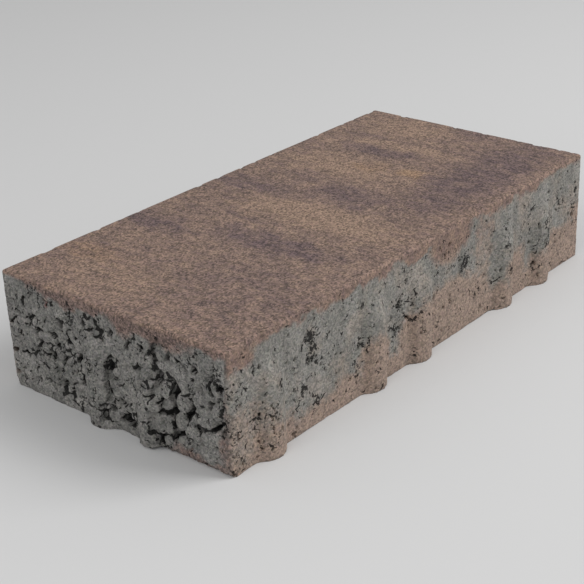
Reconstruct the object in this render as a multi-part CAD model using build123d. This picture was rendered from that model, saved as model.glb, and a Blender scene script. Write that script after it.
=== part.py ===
from build123d import *
import math
import os

# Rectangular concrete paving stone, pressed as one piece, with spacer nibs on all four sides.
# It lies as laid: bed face down, walking face up, long side along X.
# The origin is the middle of the bed face. Lengths are in millimetres.

# Laying module: one stone and one joint
module_length = 200.0
module_width = 100.0
thickness = 41.0

# Spacer nibs: their depth sets the joint between two stones
nib_depth = 3.5
nib_width = 15.0  # at the wall, with the root curves
nib_root_radius = 3.0  # hollow curve from the wall into the nib
nib_mesh = 11.0  # from a nib to the next stone's nib, which lies beside it in the joint
nib_pitch = 25.0  # grid of the long sides
end_nib_pitch = 2 * nib_mesh  # on the ends, the nibs of two stones take turns
nib_top_gap = 7.5  # below the walking face, so that the joint shows as an even line
nib_run_out = 8.0  # height over which a nib's top sinks into the wall

# Places on each side's grid that hold a nib, counted from the one next to the middle of the side
long_side_places = (-3, -1, 0, 2, 3)
end_places = (0, 1)

# Edges
corner_radius = 1.2  # upright corners, as the mould box has them
arris_radius = 1.0  # rim of the walking face

body_length = module_length - nib_depth
body_width = module_width - nib_depth
nib_top = thickness - nib_top_gap


def nib_section():
    """Section of one nib: the wall is the X axis, +Y points out of the stone, and the nib is centred on Y."""
    half_width = nib_width / 2
    # The crest and root arcs run into each other smoothly where their radii add up to this
    radii_sum = (half_width**2 + nib_depth**2) / (2 * nib_depth)
    crest_radius = radii_sum - nib_root_radius
    turn = math.asin(half_width / radii_sum)
    meet_x = crest_radius * math.sin(turn)
    meet_y = nib_depth - crest_radius * (1 - math.cos(turn))
    mid_root_x = half_width - nib_root_radius * math.sin(turn / 2)
    mid_root_y = nib_root_radius * (1 - math.cos(turn / 2))
    # The nib reaches into the stone as far as it stands out of it
    inner_y = -nib_depth
    with BuildSketch() as section:
        with BuildLine():
            ThreePointArc((-half_width, 0), (-mid_root_x, mid_root_y), (-meet_x, meet_y))
            ThreePointArc((-meet_x, meet_y), (0, nib_depth), (meet_x, meet_y))
            ThreePointArc((meet_x, meet_y), (mid_root_x, mid_root_y), (half_width, 0))
            Polyline((half_width, 0), (half_width, inner_y), (-half_width, inner_y), (-half_width, 0))
        make_face()
    return section.sketch


def nib():
    """One upright nib on the bed plane, whose top leans back into the wall over the run-out."""
    section = nib_section()
    straight_height = nib_top - nib_run_out
    foot = Pos(0, 0, straight_height) * section
    sunk = Pos(0, -nib_depth, nib_top) * section
    return extrude(section, straight_height) + loft([foot, sunk], ruled=True)


def nibs_on(side_length, wall_distance, pitch, places, facing):
    """The nibs of one side, whose wall lies wall_distance from the middle, turned by facing degrees about Z."""
    shape = nib()
    straight_wall = side_length / 2 - corner_radius
    for place in places:
        along = nib_mesh / 2 - pitch * place
        if abs(along) + nib_width / 2 <= straight_wall:
            yield Rot(0, 0, facing) * Pos(along, wall_distance, 0) * shape


def body():
    """The stone without its nibs."""
    block = extrude(RectangleRounded(body_length, body_width, corner_radius), thickness)
    rim = block.faces().sort_by(Axis.Z)[-1].edges()
    return fillet(rim, arris_radius)


def paving_stone():
    """The stone is the same after half a turn about Z, so that stones mesh whichever way round they lie."""
    stone = body()
    for half_turn in (0, 180):
        for shape in nibs_on(body_length, body_width / 2, nib_pitch, long_side_places, half_turn):
            stone += shape
        for shape in nibs_on(body_width, body_length / 2, end_nib_pitch, end_places, half_turn + 90):
            stone += shape
    return stone


stone = paving_stone()
os.makedirs("parts", exist_ok=True)
export_step(stone, "parts/paving_stone.step")
print("volume", round(stone.volume), "faces", len(stone.faces()), "solids", len(stone.solids()))
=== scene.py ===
import math
import random

import bmesh
import bpy
import numpy as np
from mathutils import Matrix, Vector, noise
from mathutils.bvhtree import BVHTree


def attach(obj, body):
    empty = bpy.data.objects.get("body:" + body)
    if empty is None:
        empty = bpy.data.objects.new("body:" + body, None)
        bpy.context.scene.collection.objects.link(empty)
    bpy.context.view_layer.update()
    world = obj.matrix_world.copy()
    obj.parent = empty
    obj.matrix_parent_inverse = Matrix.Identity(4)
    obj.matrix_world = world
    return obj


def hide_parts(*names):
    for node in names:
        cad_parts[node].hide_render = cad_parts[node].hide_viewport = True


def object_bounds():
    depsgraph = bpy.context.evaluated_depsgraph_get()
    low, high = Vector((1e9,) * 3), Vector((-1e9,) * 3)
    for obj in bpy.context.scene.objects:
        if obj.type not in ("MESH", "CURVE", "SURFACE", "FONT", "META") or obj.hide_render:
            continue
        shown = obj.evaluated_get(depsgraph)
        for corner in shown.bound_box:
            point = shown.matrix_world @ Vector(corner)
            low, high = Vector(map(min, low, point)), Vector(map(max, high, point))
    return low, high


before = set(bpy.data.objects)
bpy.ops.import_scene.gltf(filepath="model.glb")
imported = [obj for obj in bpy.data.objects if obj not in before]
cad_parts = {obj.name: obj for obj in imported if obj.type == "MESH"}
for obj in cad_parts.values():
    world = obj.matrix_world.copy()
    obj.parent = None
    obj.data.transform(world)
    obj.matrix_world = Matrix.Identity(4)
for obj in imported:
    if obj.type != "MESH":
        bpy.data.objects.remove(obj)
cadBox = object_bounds()

mm = 0.001
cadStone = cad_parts["paving_stone"]

# the stone's own sizes in mm, without the nibs
nibDepth = 3.5
halfLength = cadBox[1].x / mm - nibDepth
halfWidth = cadBox[1].y / mm - nibDepth
thickness = cadBox[1].z / mm


# sRGB hex to the linear colour that the nodes want
def hexColour(code):
    values = [int(code[i : i + 2], 16) / 255 for i in (1, 3, 5)]
    linear = [v / 12.92 if v <= 0.04045 else ((v + 0.055) / 1.055) ** 2.4 for v in values]
    return (*linear, 1.0)


# adds a node, sets it up, links or fills its inputs and gives back one output
def addNode(tree, kind, inputs=None, out=0, **settings):
    node = tree.nodes.new(kind)
    for name, value in settings.items():
        setattr(node, name, value)
    for socket, value in (inputs or {}).items():
        if isinstance(value, bpy.types.NodeSocket):
            tree.links.new(value, node.inputs[socket])
        else:
            node.inputs[socket].default_value = value
    return node.outputs[out] if len(node.outputs) else node


# settings of the Mix nodes that blend or multiply colours
colourMix = {"out": 2, "data_type": "RGBA"}
multiply = {**colourMix, "blend_type": "MULTIPLY"}
overlay = {**colourMix, "blend_type": "OVERLAY"}


def smoothStep(low, high, value):
    share = np.clip((value - low) / (high - low), 0, 1)
    return share * share * (3 - 2 * share)


# camera, worked out from the stone's straight edges; lengths in mm
camera = {
    "azimuth": -48.86,
    "elevation": 25.36,
    "roll": -2.31,
    "distance": 508.3,
    "target": (8.37, 19.22, 0.0),
    "lens": 84.7,
    "sensor": 36.0,
}


def makeCamera(c):
    data = bpy.data.cameras.new("camera")
    data.lens = c["lens"]
    data.sensor_width = c["sensor"]
    data.clip_start = 0.01
    cam = bpy.data.objects.new("camera", data)
    bpy.context.scene.collection.objects.link(cam)
    a, e, r = (math.radians(c[k]) for k in ("azimuth", "elevation", "roll"))
    back = Vector((math.sin(a) * math.cos(e), -math.cos(a) * math.cos(e), math.sin(e)))
    level = Vector((math.cos(a), math.sin(a), 0))
    rise = back.cross(level)
    right = level * math.cos(r) + rise * math.sin(r)
    up = rise * math.cos(r) - level * math.sin(r)
    eye = (Vector(c["target"]) + back * c["distance"]) * mm
    cam.matrix_world = Matrix.Translation(eye) @ Matrix((right, up, back)).transposed().to_4x4()
    bpy.context.scene.camera = cam


makeCamera(camera)
print("camera set")


# the open ends: sizes in mm
# across is measured along the end, from its middle to the left as seen from outside the seen end
openEnd = {
    "voxel": 0.4,
    "depth": 2.6,  # how far the gaps between the grains reach in
    "faceLayer": 4.0,  # dense face mix over the open core
    "skin": 0.8,  # smeared paste that the long sides keep up to their corners
    "foot": 0.8,  # paste that the bed and its edge keep
    "base": 3.5,  # dense mix above it, which stands back
    "baseRecess": 1.2,
    "rooted": 4.0,  # how far the added blocks reach into the dense part
    "nibs": (5.5, -16.5),
    "nibWidth": 15.0,
    "cornerRadius": 1.2,
    "seed": 23,
    "tries": 12000,
    "margin": 0.5,  # kept free of grains at the corners
    "lowest": 0.3,
    "radius": (1.1, 2.9),
    "fineMix": (1.0, 2.4),  # left part of the end
    "fineFrom": 12.0,  # across where that part starts
    "looseRadius": (1.8, 3.8),  # where the mix lies loose
    "sizeBias": 1.6,  # small grains are more common
    "longShare": (0.95, 1.3),
    "thickShare": (0.9, 1.2),
    "packing": 0.92,
    "neighbourReach": 1.7,
    "gap": (0.3, 0.75),
    "looseGap": (0.2, 0.5),
    "joined": -0.6,  # overlap of two grains that paste joins
    "merged": 0.35,  # share of neighbours that paste joins without a gap
    "filledMerged": 0.8,  # the same where paste fills the mix
    "looseMerged": 0.45,
    "filledFoot": 2.5,  # height up to which paste fills the mix
    "recess": (0.0, 1.0),
    "recessBias": 2.2,  # most grains lie near the wall
    "cutLean": (-0.12, 0.2),
    "frontLean": 0.16,
    "flatShare": 0.78,  # of a grain's half depth, where the mould wall flattens it
    "grown": 1.4,  # a grain outgrows its place before its neighbours cut it back
    "proud": 0.25,  # and stands out of the wall before it is pressed back
    "fines": 320,
    "fineRadius": (0.6, 1.2),
    "fineRecess": (0.5, 2.0),
    "deepGrains": 240,
    "deepRadius": (1.5, 2.8),
}

# paste that the corner of the seen end keeps: across and height, from and to
densePatches = ((-48.2, -43.5, 0.0, 9.0), (-48.2, -46.0, 9.0, 14.0))

# where the mix lies loose, and where paste fills it: across, height, half sizes
looseParts = ((-29, 13, 13, 12), (-38, 13, 7, 11))
filledParts = ((36, 35, 20, 7), (2, 29, 13, 6), (-44, 30, 6, 9), (-20, 31, 9, 4), (-32, 30, 11, 6))

# grains that stand out at the seen end: across, height, half sizes, tilt in degrees
bigGrains = (
    (-23.3, 21.2, 3.5, 2.3, 123),
    (-23.6, 15.6, 2.4, 1.4, 0),
    (-19.4, 15.2, 1.9, 1.5, 0),
    (-21.4, 9.6, 4.2, 3.3, 0),
    (-28.6, 12.4, 3.5, 2.2, 95),
    (-29.7, 18.9, 3.4, 2.3, 100),
    (-32.9, 9.7, 3.2, 2.6, 120),
    (-23.0, 4.0, 2.0, 1.8, 0),
    (-28.6, 4.5, 2.5, 1.9, -20),
    (-39.2, 9.6, 2.8, 2.4, 60),
    (-37.9, 16.5, 3.2, 2.8, 40),
    (-5.2, 31.6, 3.2, 2.6, 0),
    (6.5, 12.0, 6.0, 5.0, 20),
    (13.5, 29.8, 3.0, 2.2, 80),
    (19.8, 12.2, 3.0, 2.8, 10),
    (40.4, 10.4, 3.6, 2.6, 5),
    (38.2, 16.0, 1.9, 1.9, 0),
)

# open gaps and cracks at the seen end: across, height, half length, half width, tilt in degrees
openGaps = (
    (-26.4, 20.7, 3.7, 1.3, 114),
    (-26.4, 16.0, 2.0, 0.8, 90),
    (-25.0, 13.5, 1.5, 1.0, 60),
    (-25.6, 10.4, 2.2, 0.4, 90),
    (-33.0, 16.3, 2.9, 1.1, 115),
    (-28.4, 8.0, 2.1, 0.75, -13),
    (-26.0, 6.1, 1.9, 0.5, -56),
    (-35.8, 12.4, 1.4, 1.0, 0),
    (-42.9, 14.9, 3.2, 0.65, 138),
    (-45.4, 14.8, 2.2, 0.3, 90),
    (-20.6, 4.2, 2.2, 0.65, 80),
    (-6.0, 4.2, 3.2, 1.2, 0),
    (-42.0, 26.2, 1.3, 0.75, 70),
    (-44.2, 28.7, 1.0, 0.55, 60),
    (-45.9, 22.9, 1.0, 0.5, 160),
    (-40.9, 21.6, 1.8, 0.4, 95),
    (-30.7, 31.7, 0.9, 0.6, 30),
    (-34.8, 31.7, 1.1, 0.45, 90),
    (-24.7, 31.9, 0.8, 0.45, 20),
    (-19.5, 34.4, 1.0, 0.4, 80),
    (-0.6, 32.4, 1.2, 0.75, 10),
    (-7.6, 30.3, 1.0, 0.4, 70),
    (-18.3, 31.5, 1.6, 0.2, 51),
    (-20.4, 28.6, 2.0, 0.25, 57),
    (-21.5, 25.8, 1.2, 0.25, 80),
    (-20.9, 22.9, 2.0, 0.3, 113),
    (-24.5, 24.6, 1.9, 0.25, 5),
    (-21.0, 17.6, 1.2, 0.45, 100),
    (-20.5, 13.1, 3.0, 0.25, 0),
    (42.7, 27.9, 1.3, 0.85, 10),
    (22.4, 29.7, 1.7, 1.0, 60),
    (10.9, 32.9, 1.4, 0.8, 100),
    (46.2, 5.2, 1.1, 0.7, 0),
    (42.6, 4.6, 0.9, 0.5, 45),
    (22.6, 6.9, 1.2, 0.75, 20),
    (30.1, 11.7, 0.9, 0.5, 45),
    (21.4, 16.0, 1.3, 0.7, 60),
    (26.0, 17.3, 1.4, 1.0, 70),
    (26.4, 23.5, 1.2, 0.7, 0),
    (18.2, 24.1, 1.3, 0.5, 20),
    (14.5, 19.4, 0.9, 0.5, 0),
    (40.1, 13.5, 0.9, 0.4, 10),
    (0.5, 21.6, 2.0, 0.45, 95),
    (0.7, 13.6, 1.8, 0.4, 85),
    (-0.2, 7.0, 0.9, 0.55, 20),
)


# mm from the middle line of a gap, and the way to it
def gapReach(gap, across, height):
    middle, level, halfLong, halfWide, tilt = gap
    c, s = math.cos(math.radians(tilt)), math.sin(math.radians(tilt))
    along = (across - middle) * c + (height - level) * s
    along = np.clip(along, halfWide - halfLong, halfLong - halfWide)
    wayAcross, wayUp = middle + along * c - across, level + along * s - height
    return np.hypot(wayAcross, wayUp), wayAcross, wayUp


def insideGap(across, height, spare=0):
    for gap in openGaps:
        reach = gap[2] + spare
        if abs(gap[0] - across) < reach and abs(gap[1] - height) < reach:
            if gapReach(gap, across, height)[0] < gap[3] + spare:
                return True
    return False


def insideAny(parts, across, height):
    return any(((across - a) / w) ** 2 + ((height - h) / t) ** 2 < 1 for a, h, w, t in parts)


def addBlock(bm, low, high):
    low, high = Vector(low) * mm, Vector(high) * mm
    place = Matrix.Translation((low + high) / 2) @ Matrix.Diagonal((*(high - low), 1))
    bmesh.ops.create_cube(bm, size=1, matrix=place)


# lays out the grains of one end: across, height, half sizes, tilt, recess
def layGrains(rng, s):
    grains = []
    for across, height, wide, tall, tilt in bigGrains:
        grains.append((across, height, wide, tall, math.radians(tilt), rng.uniform(0, 0.4)))
    for i in range(s["tries"]):
        across = rng.uniform(s["margin"] - halfWidth, halfWidth - s["margin"])
        height = rng.uniform(s["lowest"], thickness - s["faceLayer"] + 1.5)
        loose = insideAny(looseParts, across, height)
        low, high = s["looseRadius"] if loose else s["fineMix"] if across > s["fineFrom"] else s["radius"]
        radius = low + (high - low) * rng.random() ** s["sizeBias"]
        if insideGap(across, height):
            continue
        if any(
            math.hypot(across - g[0], height - g[1]) < s["packing"] * (radius + math.sqrt(g[2] * g[3]))
            for g in grains
        ):
            continue
        low, high = s["recess"]
        recess = low + (high - low) * rng.random() ** s["recessBias"]
        tilt = rng.uniform(0, math.pi)
        grains.append((across, height, radius * rng.uniform(*s["longShare"]), radius, tilt, recess))
    return grains


# width of the gap between two grains, below zero where paste joins them
def gapBetween(grains, i, j, s):
    middle = (grains[i][0] + grains[j][0]) / 2, (grains[i][1] + grains[j][1]) / 2
    pair = random.Random(min(i, j) * 1009 + max(i, j))  # the same for both grains
    share, gap = s["merged"], s["gap"]
    if insideAny(filledParts, *middle) or middle[1] < s["filledFoot"]:
        share = s["filledMerged"]
    if insideAny(looseParts, *middle):
        share, gap = s["looseMerged"], s["looseGap"]
    if max(i, j) < len(bigGrains):
        share = 0
    return s["joined"] if pair.random() < share else pair.uniform(*gap)


# one grain in its coat of paste: a ball cut back by its neighbours and by the mould wall
def shapeGrain(ball, rng, radii, turn, cuts):
    shift = Vector((rng.uniform(0, 50), rng.uniform(0, 50), rng.uniform(0, 50)))
    lumps = [1 + 0.09 * noise.noise(Vector(p) * 1.5 + shift) for p in ball.tolist()]
    points = ball * np.array(lumps)[:, None] * np.array(radii)
    points = points @ np.array(turn).T
    for normal, reach in cuts:
        over = np.maximum(points @ normal - reach, 0)
        points -= over[:, None] * normal
    return points


# a ball's mesh and its points
def makeBall(name, subdivisions):
    bm = bmesh.new()
    bmesh.ops.create_icosphere(bm, subdivisions=subdivisions, radius=1)
    mesh = bpy.data.meshes.new(name)
    bm.to_mesh(mesh)
    bm.free()
    return mesh, np.array([v.co for v in mesh.vertices])


def packEnd(bm, rng, wall, end, s):
    coarse = makeBall("grain", 4)
    fine = makeBall("fine_grain", 2)

    # the wall's place along X, with its nibs
    def wallAt(across, height):
        start = Vector((end * 2 * halfLength, -end * across, height)) * mm
        hit = wall.ray_cast(start, Vector((-end, 0, 0)))[0]
        return hit.x / mm if hit else end * halfLength

    def place(ball, points, depth, across, height):
        # the second end is the first one turned half round
        points = points * np.array((-end, -end, 1)) + np.array((depth, -end * across, height))
        ball.vertices.foreach_set("co", (points * mm).ravel())
        bm.from_mesh(ball)

    grains = layGrains(rng, s)
    for i, (across, height, halfWide, halfTall, tilt, recess) in enumerate(grains):
        radius = math.sqrt(halfWide * halfTall)
        thick = radius * rng.uniform(*s["thickShare"]) + 0.4
        flat = s["flatShare"] * thick
        cuts = []
        for j, other in enumerate(grains):
            gapAcross, gapHeight = other[0] - across, other[1] - height
            apart = math.hypot(gapAcross, gapHeight)
            otherRadius = math.sqrt(other[2] * other[3])
            if j == i or apart > s["neighbourReach"] * (radius + otherRadius):
                continue
            gap = gapBetween(grains, i, j, s)
            lean = rng.uniform(*s["cutLean"])
            normal = np.array((lean, gapAcross / apart, gapHeight / apart))
            normal /= np.linalg.norm(normal)
            cuts.append((normal, apart * radius / (radius + otherRadius) - gap / 2))
        for gap in openGaps:
            apart, wayAcross, wayUp = gapReach(gap, across, height)
            if gap[3] < apart < 2 * radius + gap[3]:
                normal = np.array((0, wayAcross / apart, wayUp / apart))
                cuts.append((normal, max(apart - gap[3], 0.4 * radius)))
        tip = s["frontLean"]
        front = np.array((-1, rng.uniform(-tip, tip), rng.uniform(-tip, tip)))
        cuts.append((front / np.linalg.norm(front), flat))
        turn = Matrix.Rotation(tilt, 3, "X")
        radii = thick, s["grown"] * halfWide, s["grown"] * halfTall
        points = shapeGrain(coarse[1], rng, radii, turn, cuts)
        depth = wallAt(across, height) - end * (flat + recess - s["proud"])
        place(coarse[0], points, depth, across, height)
    # sand and small grains in the paste between them
    for i in range(s["fines"]):
        across = rng.uniform(s["margin"] - halfWidth, halfWidth - s["margin"])
        height = rng.uniform(s["lowest"], thickness - s["faceLayer"] + 1)
        if insideGap(across, height):
            continue
        radius = rng.uniform(*s["fineRadius"])
        recess = rng.uniform(*s["fineRecess"])
        points = shapeGrain(fine[1], rng, (radius, 1.3 * radius, 1.1 * radius), Matrix.Identity(3), ())
        place(fine[0], points, wallAt(across, height) - end * (radius + recess), across, height)
    # a second row fills the bottom of the gaps
    for i in range(s["deepGrains"]):
        across = rng.uniform(2 - halfWidth, halfWidth - 2)
        height = rng.uniform(1.5, thickness - s["faceLayer"])
        radius = rng.uniform(*s["deepRadius"])
        if insideGap(across, height, radius):
            continue
        points = shapeGrain(coarse[1], rng, (radius,) * 3, Matrix.Identity(3), ())
        depth = wallAt(across, height) - end * (s["depth"] + 0.6 * radius + rng.uniform(0, 0.8))
        place(coarse[0], points, depth, across, height)
    bpy.data.meshes.remove(coarse[0])
    bpy.data.meshes.remove(fine[0])
    print("grains at one end", len(grains) + s["fines"] + s["deepGrains"])
    return grains


def castBody(s):
    wall = BVHTree.FromObject(cadStone, bpy.context.evaluated_depsgraph_get())
    bm = bmesh.new()
    bm.from_mesh(cadStone.data)
    bmesh.ops.remove_doubles(bm, verts=bm.verts, dist=0.01 * mm)
    rng = random.Random(s["seed"])
    grains = {}
    for end in (-1, 1):
        # the dense part of the end stands back, and grains fill the room up to the mould wall
        moved = [v for v in bm.verts if v.co.x * end > (halfLength - 1.1 * s["cornerRadius"]) * mm]
        bmesh.ops.translate(bm, verts=moved, vec=Vector((-end * s["depth"] * mm, 0, 0)))
    for end in (-1, 1):
        inner, outer = sorted((end * (halfLength - s["depth"] - s["rooted"]), end * halfLength))
        addBlock(bm, (inner, -halfWidth, thickness - s["faceLayer"]), (outer, halfWidth, thickness))
        addBlock(bm, (inner, -halfWidth, 0), (outer, halfWidth, s["foot"]))
        low, high = sorted((inner, end * (halfLength - s["baseRecess"])))
        addBlock(bm, (low, -halfWidth, 0), (high, halfWidth, s["base"]))
        for side in (-1, 1):
            near, far = sorted((side * (halfWidth - s["skin"]), side * halfWidth))
            addBlock(bm, (inner, near, 0), (outer, far, thickness))
        for across in s["nibs"]:
            near, far = sorted(-end * (across + side * s["nibWidth"] / 2) for side in (-1, 1))
            low, high = sorted((end * (halfLength - s["depth"]), end * (halfLength + nibDepth)))
            addBlock(bm, (low, near, 0), (high, far, s["foot"]))
        for one, other, bottom, top in densePatches:
            near, far = sorted((-end * one, -end * other))
            addBlock(bm, (inner, near, bottom), (outer, far, top))
        grains[end] = packEnd(bm, rng, wall, end, s)
    mesh = bpy.data.meshes.new("paving_stone_cast")
    bm.to_mesh(mesh)
    bm.free()
    obj = bpy.data.objects.new("paving_stone_cast", mesh)
    bpy.context.scene.collection.objects.link(obj)
    return obj, grains


# gives an object the mesh that its modifiers make
def applyModifiers(obj):
    made = bpy.data.meshes.new_from_object(obj.evaluated_get(bpy.context.evaluated_depsgraph_get()))
    obj.modifiers.clear()
    old = obj.data
    obj.data = made
    bpy.data.meshes.remove(old)


def keepLargestShell(obj):
    bm = bmesh.new()
    bm.from_mesh(obj.data)
    shells = []
    seen = set()
    for start in bm.verts:
        if start.index in seen:
            continue
        shell = [start]
        seen.add(start.index)
        for vert in shell:
            for edge in vert.link_edges:
                other = edge.other_vert(vert)
                if other.index not in seen:
                    seen.add(other.index)
                    shell.append(other)
        shells.append(shell)
    shells.sort(key=len)
    loose = [vert for shell in shells[:-1] for vert in shell]
    bmesh.ops.delete(bm, geom=loose, context="VERTS")
    bm.to_mesh(obj.data)
    bm.free()
    print("loose shells removed", len(shells) - 1)


def fuse(obj, s):
    remesh = obj.modifiers.new("fuse", "REMESH")
    remesh.mode = "VOXEL"
    remesh.voxel_size = s["voxel"] * mm
    remesh.use_smooth_shade = True
    # what stands out of the mould is pressed flat on its wall
    press = obj.modifiers.new("press", "SHRINKWRAP")
    press.target = cadStone
    press.wrap_method = "NEAREST_SURFACEPOINT"
    press.wrap_mode = "INSIDE"
    applyModifiers(obj)
    keepLargestShell(obj)
    print("fused", len(obj.data.vertices), "points")


# relief of the walls: depths and sizes in mm
wallRelief = {
    "triangles": 192000,
    "skyRays": 14,  # rays that look for the sky from each point
    "skyReach": 7.0,
    "skyLift": 0.08,  # start of a ray above the surface
    "nibSteps": 60,  # steps of smoothing
    "nibTops": (14, 24),  # heights between which the nibs sink
    "swell": 0.15,  # slow waves of the walls
    "swellSize": 22.0,
    "pitDepth": 2.2,
    "pitSize": 1.9,
    "pitFrom": (0.68, 0.78),  # noise at which a pit starts and is full
    "pittedShare": 0.22,  # what a pitted spot adds to it
    "gapDepth": 4.0,  # of the listed gaps at the ends
    "cutGap": 0.35,  # half width from which a gap is cut
    "streakDepth": 0.08,
    "sideGrain": 0.05,
    "footGrain": 0.04,
    "endGrain": 0.12,
    "topGrain": 0.02,
    "arrisChip": 0.3,
    "cornerChip": 0.8,
    "footChip": 0.15,
}

# worn rims of the seen end: place, direction that it faces, depth, reach
wornRims = (
    ((-98.2, 48.2, 0.0), (-0.66, 0.66, -0.34), 1.5, 14.0),
    ((-98.2, -38.0, 0.0), (-0.75, 0.0, -0.66), 1.1, 18.0),
    ((-98.2, -48.2, 0.0), (-0.5, -0.5, -0.7), 0.9, 8.0),
    ((-101.7, -16.5, 0.0), (-0.6, 0.0, -0.8), 1.0, 11.0),
    ((-98.2, -27.0, 0.0), (-0.7, 0.0, -0.7), 0.8, 10.0),
)

# pitted spots of a long side: along it from the left, below the walking face, size
pittedSpots = (
    (3, 14, 5),
    (3, 29, 4),
    (4, 36, 4),
    (11, 9, 3),
    (15, 26, 4),
    (13, 33, 5),
    (36, 10, 3),
    (37, 16, 3.5),
    (41, 20, 3),
    (31, 26, 4),
    (39, 33, 2.5),
    (58, 30, 3),
    (61, 22, 3),
    (80, 25, 4),
    (82, 17, 3),
    (84, 9, 3),
    (89, 21, 4),
    (108, 9, 5),
    (119, 15, 4),
    (127, 30, 3),
    (144, 18, 3),
    (145, 26, 3.5),
    (167, 26, 4),
    (171, 20, 4),
    (182, 16, 3.5),
    (190, 22, 4),
)


# share that a point lies inside the nearest of some spots, 1 in the middle
def nearSpots(spots, across, height):
    best = np.zeros(len(across))
    for a, h, w, t in spots:
        best = np.maximum(best, 1 - np.hypot((across - a) / w, (height - h) / t))
    return best


def readPoints(mesh, name):
    flat = np.empty(len(mesh.vertices) * 3, np.float32)
    mesh.vertices.foreach_get(name, flat)
    return flat.reshape(-1, 3).astype(float)


# each point's place after some steps of averaging with its neighbours
def averaged(mesh, at, steps):
    pairs = np.empty(len(mesh.edges) * 2, np.int32)
    mesh.edges.foreach_get("vertices", pairs)
    one, other = pairs.reshape(-1, 2).T
    size = len(at)
    count = np.bincount(pairs, minlength=size)[:, None]
    for i in range(steps):
        near = [np.bincount(one, a[other], size) + np.bincount(other, a[one], size) for a in at.T]
        at = (at + np.stack(near, 1) / count) / 2
    return at


def carve(obj, r):
    mesh = obj.data
    at = readPoints(mesh, "co") / mm
    # the tops of the long sides' nibs sink softly into the wall
    soft = smoothStep(*r["nibTops"], at[:, 2]) * smoothStep(thickness - 2, thickness - 5, at[:, 2])
    soft *= smoothStep(2, 6, halfLength - np.abs(at[:, 0])) * smoothStep(-2, 0, np.abs(at[:, 1]) - halfWidth)
    at += soft[:, None] * (averaged(mesh, at, r["nibSteps"]) - at)
    mesh.vertices.foreach_set("co", (at * mm).astype(np.float32).ravel())
    mesh.update()
    normal = readPoints(mesh, "normal")
    points = [Vector(p) for p in at.tolist()]

    def noiseOf(size, shift, octaves=1, stretch=(1, 1, 1)):
        scale = Vector(stretch) / size
        move = Vector((shift, shift * 1.7, shift * 0.6))
        if octaves == 1:
            return np.array([noise.noise(p * scale + move) for p in points])
        return np.array([noise.fractal(p * scale + move, 1.0, 2.0, octaves) for p in points])

    x, y, z = at.T
    fromEnd = halfLength - np.abs(x)
    fromSide = halfWidth - np.abs(y)
    fromTop = thickness - z
    rim = np.minimum(fromEnd, fromSide)
    onSide = smoothStep(0.45, 0.8, np.abs(normal[:, 1])) * smoothStep(0.5, 4, fromEnd)
    onTop = smoothStep(0.6, 0.9, normal[:, 2]) * smoothStep(2.5, 1, fromTop)
    onBed = smoothStep(0.6, 0.9, -normal[:, 2]) * smoothStep(2.5, 1, z)
    onEnd = smoothStep(10, 6, fromEnd) * (1 - onTop) * (1 - onBed) * (1 - onSide)
    along = np.where(y < 0, x, -x) + halfLength
    across = np.where(x < 0, y, -y)

    depth = r["swell"] * noiseOf(r["swellSize"], 3) * (1 - 0.6 * onTop)
    ragged = noiseOf(r["pitSize"], 11, 3, (1.2, 1, 0.85))
    # ragged pits in the smeared sides
    spots = [(a - 1.5, thickness - t, 1.5 * size, 1.7 * size) for a, t, size in pittedSpots]
    pitted = nearSpots(spots, along, z)
    pits = smoothStep(*r["pitFrom"], ragged + r["pittedShare"] * pitted)
    below = smoothStep(2, 5, fromTop)
    depth -= r["pitDepth"] * pits * (onSide * below + 0.4 * onBed)
    # gaps of the open ends
    wide = [gap for gap in openGaps if gap[3] > r["cutGap"]]
    gapShare = np.max([1 - gapReach(gap, across, z)[0] / (gap[3] + 0.3) for gap in wide], axis=0)
    holes = smoothStep(0.42, 0.65, 0.6 * ragged + 0.95 * np.maximum(gapShare, 0))
    gapDepth = r["gapDepth"] * holes * smoothStep(6, 4, fromEnd) * onEnd * below
    # drag marks of the mould and grain of the paste
    depth += r["streakDepth"] * noiseOf(1.6, 7, 1, (1, 1, 0.12)) * onSide
    grain = noiseOf(1.2, 13, 2)
    foot = r["footGrain"] * smoothStep(20, 8, z)
    flats = r["topGrain"] * (onTop + onBed)
    depth += grain * ((r["sideGrain"] + foot) * onSide + r["endGrain"] * onEnd + flats)
    # nicked rims
    nick = smoothStep(0.1, 0.5, noiseOf(3.6, 19, 2))
    depth -= r["arrisChip"] * nick * smoothStep(2.5, 0.6, fromTop) * smoothStep(2.5, 0.6, rim)
    corner = smoothStep(4, 1, fromEnd) * smoothStep(4, 1, fromSide) * smoothStep(1.5, 5, fromTop)
    corner *= across < 0  # one corner of each end
    depth -= r["cornerChip"] * corner * smoothStep(0.05, 0.5, noiseOf(2.4, 23, 3))
    depth -= r["footChip"] * nick * smoothStep(3.5, 0.8, z) * smoothStep(3.5, 0.8, rim)

    at += normal * depth[:, None]
    at[:, 0] -= np.sign(x) * gapDepth
    for place, facing, deep, reach in wornRims:
        facing = np.array(facing) / np.linalg.norm(facing)
        away = at - np.array(place)
        over = np.maximum(away @ facing + deep + 0.5 * grain, 0)
        over *= smoothStep(reach, 0.6 * reach, np.linalg.norm(away, axis=1))
        at -= over[:, None] * facing
    at[:, 2] = np.clip(at[:, 2], 0, thickness)
    mesh.vertices.foreach_set("co", (at * mm).astype(np.float32).ravel())
    mesh.update()
    print("walls carved")


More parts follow.
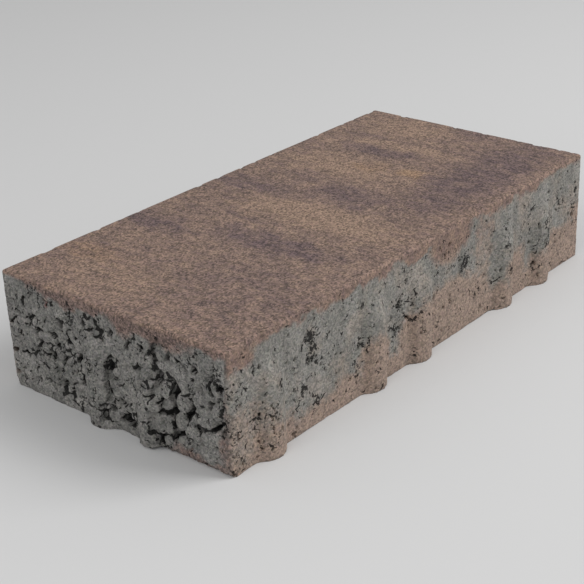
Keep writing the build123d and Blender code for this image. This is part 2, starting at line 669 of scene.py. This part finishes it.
# mm from the rim of the nearest gap between two grains of an end, below zero inside the gap,
# and each grain's own tone
def readGrains(at, ends, s):
    seam = np.full(len(at), 9.0)
    tone = np.full(len(at), 0.5)
    for end, grains in ends.items():
        near = np.flatnonzero(at[:, 0] * end > halfLength - 8)
        across, height = -end * at[near, 1], at[near, 2]
        places = np.array([g[:2] for g in grains])
        radius = np.array([math.sqrt(g[2] * g[3]) for g in grains])
        share = np.hypot(across[:, None] - places[:, 0], height[:, None] - places[:, 1]) / radius
        nearest = np.argpartition(share, 1, axis=1)[:, :2]
        apart = np.abs(np.diff(np.take_along_axis(share, nearest, 1), axis=1)[:, 0])
        apart /= (1 / radius[nearest]).sum(1)
        pairs, which = np.unique(np.sort(nearest, 1), axis=0, return_inverse=True)
        gaps = np.array([gapBetween(grains, i, j, s) for i, j in pairs.tolist()])
        # the face mix and the smeared corners have no gaps
        dense = smoothStep(-1.0, 1.0, height - thickness + s["faceLayer"])
        dense = np.maximum(dense, smoothStep(-0.6, 0.2, np.abs(across) - halfWidth + s["skin"]))
        for one, other, bottom, top in densePatches:
            inside = np.minimum(across - one, other - across)
            inside = np.minimum(inside, np.minimum(height - bottom, top - height))
            dense = np.maximum(dense, smoothStep(-1.0, 1.0, inside))
        apart += 3 * dense - gaps[which.ravel()] / 2
        toGaps = [gapReach(gap, across, height)[0] - gap[3] for gap in openGaps]
        seam[near] = np.min([apart] + toGaps, axis=0)
        tones = np.array([random.Random(i).random() for i in range(len(grains))])
        tone[near] = tones[np.argmin(share, axis=1)]
    return seam, tone


# share of the sky that each point sees past its own surroundings; the material darkens the colour by it as
# painted shade
def skyShare(obj, at, normal, r):
    tree = BVHTree.FromObject(obj, bpy.context.evaluated_depsgraph_get())
    rays = []
    turn = 2.4  # radians from ray to ray
    for i in range(r["skyRays"]):
        out = math.sqrt((i + 0.5) / r["skyRays"])
        rays.append((out * math.cos(turn * i), out * math.sin(turn * i), math.sqrt(1 - out * out)))
    helper = np.where(np.abs(normal[:, 2:]) > 0.7, (1.0, 0, 0), (0, 0, 1.0))
    across = np.cross(normal, helper)
    across /= np.linalg.norm(across, axis=1)[:, None]
    axes = np.stack((across, np.cross(normal, across), normal), 1)
    ways = np.einsum("rk,nkc->nrc", np.array(rays), axes)
    starts = (at + r["skyLift"] * normal) * mm
    reach = r["skyReach"] * mm
    sky = np.ones((len(at), 1))
    walls = np.flatnonzero((at[:, 2] > 0.6) & (at[:, 2] < thickness - 0.6))
    for i in walls.tolist():
        start = starts[i].tolist()
        hits = [tree.ray_cast(start, way, reach)[3] for way in ways[i].tolist()]
        sky[i] = sum(1 if hit is None else hit / reach for hit in hits) / len(hits)
    return averaged(obj.data, sky, 1)[:, 0]


def thin(obj, grains, r):
    obj.data.calc_loop_triangles()
    thinned = obj.modifiers.new("thin", "DECIMATE")
    thinned.ratio = min(1, r["triangles"] / len(obj.data.loop_triangles))
    applyModifiers(obj)
    obj.data.calc_loop_triangles()
    for polygon in obj.data.polygons:
        polygon.use_smooth = True
    at = readPoints(obj.data, "co") / mm
    at[:, 2] = np.clip(at[:, 2], 0, thickness)
    obj.data.vertices.foreach_set("co", (at * mm).astype(np.float32).ravel())
    normal = readPoints(obj.data, "normal")
    x, y, z = at.T
    along = np.where(y < 0, x, -x) + halfLength
    spots = [(a, thickness - t, 1.6 * size, 1.6 * size) for a, t, size in pittedSpots]
    seam, tone = readGrains(at, grains, openEnd)
    layers = {
        "sky": skyShare(obj, at, normal, r),
        "seam": seam,
        "grainTone": tone,
        "pitted": nearSpots(spots, along, z) * smoothStep(-2, 0, np.abs(y) - halfWidth),
    }
    for name, values in layers.items():
        layer = obj.data.attributes.new(name, "FLOAT", "POINT")
        layer.data.foreach_set("value", values)
    print("triangles", len(obj.data.loop_triangles))


stone, endGrains = castBody(openEnd)
fuse(stone, openEnd)
carve(stone, wallRelief)
thin(stone, endGrains, wallRelief)


# colours of the stone, and the patches that they lie in; sizes in mm
concrete = {
    "tan": "#8e7869",
    "charcoal": "#665757",
    "ochre": "#957960",
    "paste": "#878580",
    "pasteDark": "#777570",
    "core": "#898783",
    "coreDark": "#686764",
    "foot": "#a39081",
    "footDark": "#7b6c65",
    "strip": "#8f7a70",
    "stripDark": "#514747",
    "rust": "#5e3d37",
    "grit": 0.55,  # single sand grains; the finer ones would not show
    "sand": 0.6,  # roughness of the surface
    "fleck": 1.9,  # a few grains together
    "smear": 2.8,
    "smearStretch": (1, 0.45, 1),  # smears are longer across the stone
    "cloud": 9.0,
    "bend": 12.0,  # how far the clouds bend the borders of the patches
    "dragLength": 3.5,  # marks that the mould drags in the paste
    "hole": 1.25,
    "holePatch": 7.0,
    "crackCell": 3.6,  # grains hidden in the long sides
    "crackSpread": 3.2,
    "wallSand": 0.65,
    "endSand": 0.75,
    "driftShare": 0.27,  # weight of the drifts against the smears
    "tint": 0.03,  # colour of single sand grains
    "hollowShade": 0.1,
    # darkest painted shade deep in the gaps
    "paintedShade": 0.05,
    "bump": 0.8,
    # noise at which a colour or a hollow starts, and at which it is full
    "darkFrom": (0.3, 0.82),
    "brownFrom": (0.65, 1.35),
    "holeFrom": (0.86, 0.89),
    "crackFrom": (0.57, 0.77),
    "seamFrom": (-1.52, -1.62),
    # share of the sky at which the painted shade is full, and at which it is gone
    "paintedShadeFrom": (0.2, 0.62),
}

# charcoal drifts of the walking face: along, from the back edge, half sizes, strength
charcoalDrifts = (
    (56, 11, 7, 20, 0.8),
    (66, 58, 8, 30, 1.0),
    (78, 33, 2, 16, 0.5),
    (103, 16, 7, 22, 0.85),
    (112, 52, 12, 18, 0.8),
    (155, 78, 52, 17, 0.9),
    (156, 32, 5, 20, 0.9),
    (169, 18, 2.5, 12, 0.6),
    (34, 7, 3, 8, 0.6),
    (120, 28, 6, 14, 0.4),
    (192, 54, 8, 12, 0.5),
    (34, 72, 26, 26, 0.35),
)

# paler drifts between them
tanDrifts = (
    (92, 56, 12, 34, 1.0),
    (135, 32, 13, 28, 0.7),
    (165, 40, 4, 32, 0.7),
    (184, 25, 13, 20, 0.7),
    (144, 57, 6, 8, 1.0),
    (16, 30, 14, 24, 0.4),
)

# warmer patches of the face
ochreDrifts = (
    (143, 57, 6, 8, 0.6),
    (141, 40, 5, 8, 0.4),
    (27, 12, 7, 14, 0.5),
)

# brown mix on a long side, under the arris and at the foot: along, height, half sizes, strength
sideBrown = (
    (98, 41, 120, 4, 1.0),
    (3, 38, 12, 5, 1.0),
    (110, 37, 12, 8, 1.0),
    (98, 0, 130, 10, 1.0),
    (6, 8, 15, 15, 0.5),
    (18, 5, 9, 9, 0.8),
    (68, 10, 9, 10, 0.9),
    (90, 11, 10, 12, 1.0),
    (113, 11, 22, 11, 1.0),
    (131, 26, 7, 16, 0.5),
    (150, 8, 10, 12, 1.0),
    (182, 6, 22, 11, 1.0),
    (196, 10, 6, 14, 1.0),
)

# brown mix on an end: across, height, half sizes, strength
endBrown = (
    (0, 41, 60, 2.2, 1.0),
    (-16, 41, 22, 6.5, 1.0),
    (18, 40, 20, 4.0, 1.0),
    (-48, 8, 5, 12, 0.7),
    (-48, 24, 4, 8, 0.5),
    (-36, 0, 16, 4, 0.7),
)

# rust stains on an end: across, height, half sizes, strength
rustSpots = (
    (28, 35, 3.2, 2.0, 1.0),
    (33, 1, 3, 2, 0.8),
    (26, 20, 1.5, 1.5, 0.6),
    (-4, 22, 1.2, 1.2, 0.5),
)


# how far a place lies in some patches, 0 to 1; full and gone are shares of their half sizes
def patchMask(tree, place, patches, full, gone=1.3):
    mask = None
    for a, b, halfA, halfB, strength in patches:
        moved = addNode(tree, "ShaderNodeVectorMath", {0: place, 1: (a, b, 0)}, operation="SUBTRACT")
        shares = (1 / halfA, 1 / halfB, 0)
        scaled = addNode(tree, "ShaderNodeVectorMath", {0: moved, 1: shares}, operation="MULTIPLY")
        reach = addNode(tree, "ShaderNodeVectorMath", {0: scaled}, out=1, operation="LENGTH")
        inside = addNode(
            tree,
            "ShaderNodeMapRange",
            {0: reach, 1: gone, 2: full, 3: 0.0, 4: strength},
            interpolation_type="SMOOTHSTEP",
        )
        if mask is None:
            mask = inside
        else:
            mask = addNode(tree, "ShaderNodeMath", {0: mask, 1: inside}, operation="MAXIMUM")
    return mask


# concrete pressed from a dry mix: a matt sandy face in two blended browns, grey cement paste
# dragged over the long sides by the mould, and open, paste-coated grains at the ends
def pressedConcrete(c):
    mat = bpy.data.materials.new("pressed_concrete")
    mat.use_nodes = True
    tree = mat.node_tree
    tree.nodes.clear()
    tints = {name: hexColour(code) for name, code in c.items() if isinstance(code, str)}
    coord = addNode(tree, "ShaderNodeTexCoord", out=3)
    place = addNode(tree, "ShaderNodeVectorMath", {0: coord, "Scale": 1 / mm}, operation="SCALE")
    trueX = addNode(tree, "ShaderNodeSeparateXYZ", {0: place}, out=0)
    trueY = addNode(tree, "ShaderNodeSeparateXYZ", {0: place}, out=1)
    trueZ = addNode(tree, "ShaderNodeSeparateXYZ", {0: place}, out=2)

    # sand, flecks of a few grains, and slow drifts that bend the borders of the patches
    grit = addNode(tree, "ShaderNodeTexVoronoi", {"Vector": place, "Scale": 1 / c["grit"]}, out=1)
    tone = addNode(tree, "ShaderNodeSeparateColor", {0: grit})
    sand = addNode(tree, "ShaderNodeTexNoise", {"Vector": place, "Scale": 1 / c["sand"], "Detail": 2.0})
    fleck = addNode(
        tree,
        "ShaderNodeTexNoise",
        {"Vector": place, "Scale": 1 / c["fleck"], "Detail": 4.0, "Roughness": 0.65},
    )
    wide = {"Vector": place, "Scale": 1 / c["cloud"], "Detail": 3.0}
    cloud = addNode(tree, "ShaderNodeTexNoise", wide, out=1)
    drift = addNode(tree, "ShaderNodeVectorMath", {0: cloud, 1: (0.5, 0.5, 0.5)}, operation="SUBTRACT")
    drift = addNode(tree, "ShaderNodeVectorMath", {0: drift, "Scale": c["bend"]}, operation="SCALE")
    bent = addNode(tree, "ShaderNodeVectorMath", {0: place, 1: drift}, operation="ADD")
    x = addNode(tree, "ShaderNodeSeparateXYZ", {0: bent}, out=0)
    y = addNode(tree, "ShaderNodeSeparateXYZ", {0: bent}, out=1)
    z = addNode(tree, "ShaderNodeSeparateXYZ", {0: bent}, out=2)

    # face mix
    fromLeft = addNode(tree, "ShaderNodeMath", {0: x, 1: halfLength}, operation="ADD")
    fromBack = addNode(tree, "ShaderNodeMath", {0: halfWidth, 1: y}, operation="SUBTRACT")
    onFace = addNode(tree, "ShaderNodeCombineXYZ", {0: fromLeft, 1: fromBack})
    dark = patchMask(tree, onFace, charcoalDrifts, 0.3)
    pale = patchMask(tree, onFace, tanDrifts, 0.3)
    warm = patchMask(tree, onFace, ochreDrifts, 0.3)
    lean = addNode(tree, "ShaderNodeMath", {0: dark, 1: pale}, operation="SUBTRACT")
    stretched = addNode(tree, "ShaderNodeVectorMath", {0: place, 1: c["smearStretch"]}, operation="MULTIPLY")
    smear = addNode(
        tree,
        "ShaderNodeTexNoise",
        {"Vector": stretched, "Scale": 1 / c["smear"], "Detail": 5.0, "Roughness": 0.7},
    )
    lean = addNode(tree, "ShaderNodeMath", {0: lean, 1: c["driftShare"], 2: smear}, operation="MULTIPLY_ADD")
    low, high = c["darkFrom"]
    isDark = addNode(tree, "ShaderNodeMapRange", {0: lean, 1: low, 2: high})
    tan = addNode(tree, "ShaderNodeMix", {0: warm, 6: tints["tan"], 7: tints["ochre"]}, **colourMix)
    face = addNode(tree, "ShaderNodeMix", {0: isDark, 6: tan, 7: tints["charcoal"]}, **colourMix)

    # smeared long sides: the far side is the near one turned half round
    streaks = addNode(tree, "ShaderNodeVectorMath", {0: place, 1: (0.3, 0.3, 0.07)}, operation="MULTIPLY")
    drag = addNode(tree, "ShaderNodeTexNoise", {"Vector": streaks, "Scale": 1.0, "Detail": 3.0})
    turnX = addNode(tree, "ShaderNodeMath", {0: trueY}, operation="SIGN")
    alongX = addNode(tree, "ShaderNodeMath", {0: x, 1: turnX}, operation="MULTIPLY")
    alongX = addNode(tree, "ShaderNodeMath", {0: halfLength, 1: alongX}, operation="SUBTRACT")
    dragZ = addNode(tree, "ShaderNodeMath", {0: drag, 1: c["dragLength"], 2: z}, operation="MULTIPLY_ADD")
    dragZ = addNode(tree, "ShaderNodeMath", {0: dragZ, 1: c["dragLength"] / 2}, operation="SUBTRACT")
    onSide = addNode(tree, "ShaderNodeCombineXYZ", {0: alongX, 1: dragZ})
    sideMask = patchMask(tree, onSide, sideBrown, 0.6)
    isDrag = addNode(tree, "ShaderNodeMapRange", {0: drag, 1: 0.35, 2: 0.65})
    paste = addNode(tree, "ShaderNodeMix", {0: isDrag, 6: tints["pasteDark"], 7: tints["paste"]}, **colourMix)
    # brown film on the paste
    film = addNode(tree, "ShaderNodeSeparateColor", {0: cloud}, out=1)
    film = addNode(tree, "ShaderNodeMapRange", {0: film, 1: 0.45, 2: 0.7, 3: 0.0, 4: 0.35})
    paste = addNode(tree, "ShaderNodeMix", {0: film, 6: paste, 7: tints["foot"]}, **colourMix)

    # open ends
    turnY = addNode(tree, "ShaderNodeMath", {0: trueX}, operation="SIGN")
    acrossY = addNode(tree, "ShaderNodeMath", {0: y, 1: turnY}, operation="MULTIPLY")
    acrossY = addNode(tree, "ShaderNodeMath", {0: 0.0, 1: acrossY}, operation="SUBTRACT")
    onEnd = addNode(tree, "ShaderNodeCombineXYZ", {0: acrossY, 1: z})
    endMask = patchMask(tree, onEnd, endBrown, 0.6)
    rusty = patchMask(tree, onEnd, rustSpots, 0.2)
    rusty = addNode(tree, "ShaderNodeMath", {0: rusty, 1: fleck}, operation="MULTIPLY")
    isRust = addNode(tree, "ShaderNodeMapRange", {0: rusty, 1: 0.3, 2: 0.6})
    grainTone = addNode(tree, "ShaderNodeAttribute", out=2, attribute_name="grainTone")
    mixed = addNode(tree, "ShaderNodeMath", {0: grainTone, 1: 0.5, 2: fleck}, operation="MULTIPLY_ADD")
    mixed = addNode(tree, "ShaderNodeMapRange", {0: mixed, 1: 0.35, 2: 1.15})
    core = addNode(tree, "ShaderNodeMix", {0: mixed, 6: tints["coreDark"], 7: tints["core"]}, **colourMix)
    core = addNode(tree, "ShaderNodeMix", {0: isRust, 6: core, 7: tints["rust"]}, **colourMix)

    # which wall a place belongs to
    absX = addNode(tree, "ShaderNodeMath", {0: trueX}, operation="ABSOLUTE")
    absY = addNode(tree, "ShaderNodeMath", {0: trueY}, operation="ABSOLUTE")
    toEnd = addNode(tree, "ShaderNodeMath", {0: absX, 1: halfLength - halfWidth}, operation="SUBTRACT")
    toEnd = addNode(tree, "ShaderNodeMath", {0: toEnd, 1: absY}, operation="SUBTRACT")
    isEnd = addNode(tree, "ShaderNodeMapRange", {0: toEnd, 1: -1.0, 2: 1.0})
    isTop = addNode(tree, "ShaderNodeMapRange", {0: trueZ, 1: thickness - 1.6, 2: thickness - 0.6})
    grey = addNode(tree, "ShaderNodeMix", {0: isEnd, 6: paste, 7: core}, **colourMix)
    brownMask = addNode(tree, "ShaderNodeMix", {0: isEnd, 2: sideMask, 3: endMask})
    brownMask = addNode(tree, "ShaderNodeMath", {0: fleck, 1: brownMask}, operation="ADD")
    low, high = c["brownFrom"]
    isBrown = addNode(tree, "ShaderNodeMapRange", {0: brownMask, 1: low, 2: high})
    # brown mix: as on the face near the rim, paler at the foot, and a dark strip on the ends
    foot = addNode(tree, "ShaderNodeMix", {0: fleck, 6: tints["footDark"], 7: tints["foot"]}, **colourMix)
    isHigh = addNode(tree, "ShaderNodeMapRange", {0: trueZ, 1: thickness - 13, 2: thickness - 8})
    foot = addNode(tree, "ShaderNodeMix", {0: isHigh, 6: foot, 7: face}, **colourMix)
    strip = addNode(tree, "ShaderNodeMix", {0: fleck, 6: tints["stripDark"], 7: tints["strip"]}, **colourMix)
    brown = addNode(tree, "ShaderNodeMix", {0: isEnd, 6: foot, 7: strip}, **colourMix)
    walls = addNode(tree, "ShaderNodeMix", {0: isBrown, 6: grey, 7: brown}, **colourMix)
    colour = addNode(tree, "ShaderNodeMix", {0: isTop, 6: walls, 7: face}, **colourMix)

    # single sand grains, some of them dark or pale; paste hides most of them on the walls
    mottle = addNode(tree, "ShaderNodeMath", {0: fleck, 1: 0.5, 2: tone}, operation="MULTIPLY_ADD")
    mottle = addNode(tree, "ShaderNodeMath", {0: smear, 1: -0.4, 2: mottle}, operation="MULTIPLY_ADD")
    shade = addNode(tree, "ShaderNodeMapRange", {0: mottle, 1: 0.05, 2: 1.05, 3: 0.5, 4: 1.5})
    rare = addNode(tree, "ShaderNodeSeparateColor", {0: grit}, out=1)
    speck = addNode(tree, "ShaderNodeMapRange", {0: rare, 1: 0.97, 2: 0.98, 3: 1.0, 4: 0.6})
    shade = addNode(tree, "ShaderNodeMath", {0: shade, 1: speck}, operation="MULTIPLY")
    sandy = addNode(tree, "ShaderNodeMix", {0: isEnd, 2: c["wallSand"], 3: c["endSand"]})
    bare = addNode(tree, "ShaderNodeMath", {0: isEnd, 1: isBrown}, operation="MULTIPLY")
    bare = addNode(tree, "ShaderNodeMath", {0: isTop, 1: bare}, operation="MAXIMUM")
    sandy = addNode(tree, "ShaderNodeMix", {0: bare, 2: sandy, 3: 1.0})
    colour = addNode(tree, "ShaderNodeMix", {0: sandy, 6: colour, 7: shade}, **multiply)
    colour = addNode(tree, "ShaderNodeMix", {0: c["tint"], 6: colour, 7: grit}, **overlay)

    # small holes and the cracks round hidden grains, which the walls have and the face hasn't
    ragged = addNode(
        tree,
        "ShaderNodeTexNoise",
        {"Vector": place, "Scale": 1 / c["hole"], "Detail": 4.0, "Roughness": 0.7},
    )
    wide = {"Vector": place, "Scale": 1 / c["holePatch"], "Detail": 1.0}
    patchy = addNode(tree, "ShaderNodeTexNoise", wide)
    holey = addNode(tree, "ShaderNodeMath", {0: patchy, 1: 0.4, 2: ragged}, operation="MULTIPLY_ADD")
    holey = addNode(tree, "ShaderNodeMath", {0: isBrown, 1: -0.04, 2: holey}, operation="MULTIPLY_ADD")
    pitted = addNode(tree, "ShaderNodeAttribute", out=2, attribute_name="pitted")
    holey = addNode(tree, "ShaderNodeMath", {0: pitted, 1: 0.16, 2: holey}, operation="MULTIPLY_ADD")
    holey = addNode(tree, "ShaderNodeMath", {0: isEnd, 1: 0.04, 2: holey}, operation="MULTIPLY_ADD")
    low, high = c["holeFrom"]
    isHole = addNode(tree, "ShaderNodeMapRange", {0: holey, 1: low, 2: high})
    wave = addNode(tree, "ShaderNodeTexNoise", {"Vector": place, "Scale": 0.4, "Detail": 2.0}, out=1)
    wave = addNode(tree, "ShaderNodeVectorMath", {0: wave, "Scale": 3.0}, operation="SCALE")
    wavy = addNode(tree, "ShaderNodeVectorMath", {0: place, 1: wave}, operation="ADD")
    edge = addNode(
        tree,
        "ShaderNodeTexVoronoi",
        {"Vector": wavy, "Scale": 1 / c["crackCell"]},
        feature="DISTANCE_TO_EDGE",
    )
    wide = {"Vector": place, "Scale": 1 / c["crackSpread"], "Detail": 2.0}
    spread = addNode(tree, "ShaderNodeTexNoise", wide)
    cracked = addNode(tree, "ShaderNodeMath", {0: pitted, 1: 0.1, 2: spread}, operation="MULTIPLY_ADD")
    low, high = c["crackFrom"]
    crackWidth = addNode(tree, "ShaderNodeMapRange", {0: cracked, 1: low, 2: high, 3: -0.02, 4: 0.13})
    crackWidth = addNode(tree, "ShaderNodeMath", {0: crackWidth, 1: edge}, operation="SUBTRACT")
    isCrack = addNode(tree, "ShaderNodeMapRange", {0: crackWidth, 1: -0.01, 2: 0.03})
    # gaps between the grains of the ends, with ragged rims
    seam = addNode(tree, "ShaderNodeAttribute", out=2, attribute_name="seam")
    seam = addNode(tree, "ShaderNodeMath", {0: spread, 1: -2.0, 2: seam}, operation="MULTIPLY_ADD")
    seam = addNode(tree, "ShaderNodeMath", {0: ragged, 1: -1.0, 2: seam}, operation="MULTIPLY_ADD")
    low, high = c["seamFrom"]
    isSeam = addNode(tree, "ShaderNodeMapRange", {0: seam, 1: low, 2: high})
    hollow = addNode(tree, "ShaderNodeMath", {0: isHole, 1: isCrack}, operation="MAXIMUM")
    hollow = addNode(tree, "ShaderNodeMath", {0: hollow, 1: isSeam}, operation="MAXIMUM")
    hollow = addNode(tree, "ShaderNodeMix", {0: isTop, 2: hollow, 3: 0.0})
    shade = addNode(tree, "ShaderNodeMapRange", {0: hollow, 3: 1.0, 4: c["hollowShade"]})
    colour = addNode(tree, "ShaderNodeMix", {0: 1.0, 6: colour, 7: shade}, **multiply)

    # painted shade deep in the gaps, darker where a point sees less of the sky
    sky = addNode(tree, "ShaderNodeAttribute", out=2, attribute_name="sky")
    low, high = c["paintedShadeFrom"]
    paintedShade = addNode(tree, "ShaderNodeMapRange", {0: sky, 1: low, 2: high, 3: c["paintedShade"], 4: 1.0})
    colour = addNode(tree, "ShaderNodeMix", {0: 1.0, 6: colour, 7: paintedShade}, **multiply)

    height = addNode(tree, "ShaderNodeMath", {0: sand, 1: sandy}, operation="MULTIPLY")
    height = addNode(tree, "ShaderNodeMath", {0: height, 1: 0.4}, operation="MULTIPLY")
    height = addNode(tree, "ShaderNodeMath", {0: hollow, 1: -0.6, 2: height}, operation="MULTIPLY_ADD")
    bump = addNode(tree, "ShaderNodeBump", {"Height": height, "Strength": c["bump"], "Distance": mm})
    rough = addNode(tree, "ShaderNodeMapRange", {0: fleck, 3: 0.8, 4: 0.98})
    surface = addNode(
        tree,
        "ShaderNodeBsdfPrincipled",
        {"Base Color": colour, "Roughness": rough, "Normal": bump, "Specular IOR Level": 0.25},
    )
    addNode(tree, "ShaderNodeOutputMaterial", {0: surface})
    return mat


stone.data.materials.clear()
stone.data.materials.append(pressedConcrete(concrete))
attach(stone, "root")
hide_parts("paving_stone")
print("stone dressed")


# plain pale floor; half its size in metres
paleFloor = {"halfSize": 3.0, "colour": "#d3d3d3", "roughness": 0.9, "specular": 0.1}


def makeFloor(f):
    bm = bmesh.new()
    bmesh.ops.create_grid(bm, x_segments=1, y_segments=1, size=f["halfSize"])
    mesh = bpy.data.meshes.new("floor")
    bm.to_mesh(mesh)
    bm.free()
    floor = bpy.data.objects.new("floor", mesh)
    bpy.context.scene.collection.objects.link(floor)
    mat = bpy.data.materials.new("pale_floor")
    mat.use_nodes = True
    shader = mat.node_tree.nodes["Principled BSDF"]
    shader.inputs["Base Color"].default_value = hexColour(f["colour"])
    shader.inputs["Roughness"].default_value = f["roughness"]
    shader.inputs["Specular IOR Level"].default_value = f["specular"]
    mesh.materials.append(mat)


makeFloor(paleFloor)

# soft boxes at their places in metres, with power in watts, and the even light of the room
roomLight = 0.5
lamps = {
    "key": {"place": (0.55, -0.75, 0.85), "size": 0.7, "power": 9.0},
    "fill": {"place": (-0.9, -0.1, 0.6), "size": 0.8, "power": 3.0},
}


def makeLamps():
    for name, lamp in lamps.items():
        data = bpy.data.lights.new(name, "AREA")
        data.size = lamp["size"]
        data.energy = lamp["power"]
        obj = bpy.data.objects.new(name, data)
        obj.location = lamp["place"]
        obj.rotation_euler = (-Vector(lamp["place"])).to_track_quat("-Z", "Y").to_euler()
        bpy.context.scene.collection.objects.link(obj)
    world = bpy.data.worlds.new("studio")
    bpy.context.scene.world = world
    world.use_nodes = True
    back = world.node_tree.nodes["Background"]
    back.inputs["Color"].default_value = (1, 1, 1, 1)
    back.inputs["Strength"].default_value = roomLight


makeLamps()
print("floor and lamps set")
bpy.context.scene.view_settings.view_transform = "Standard"
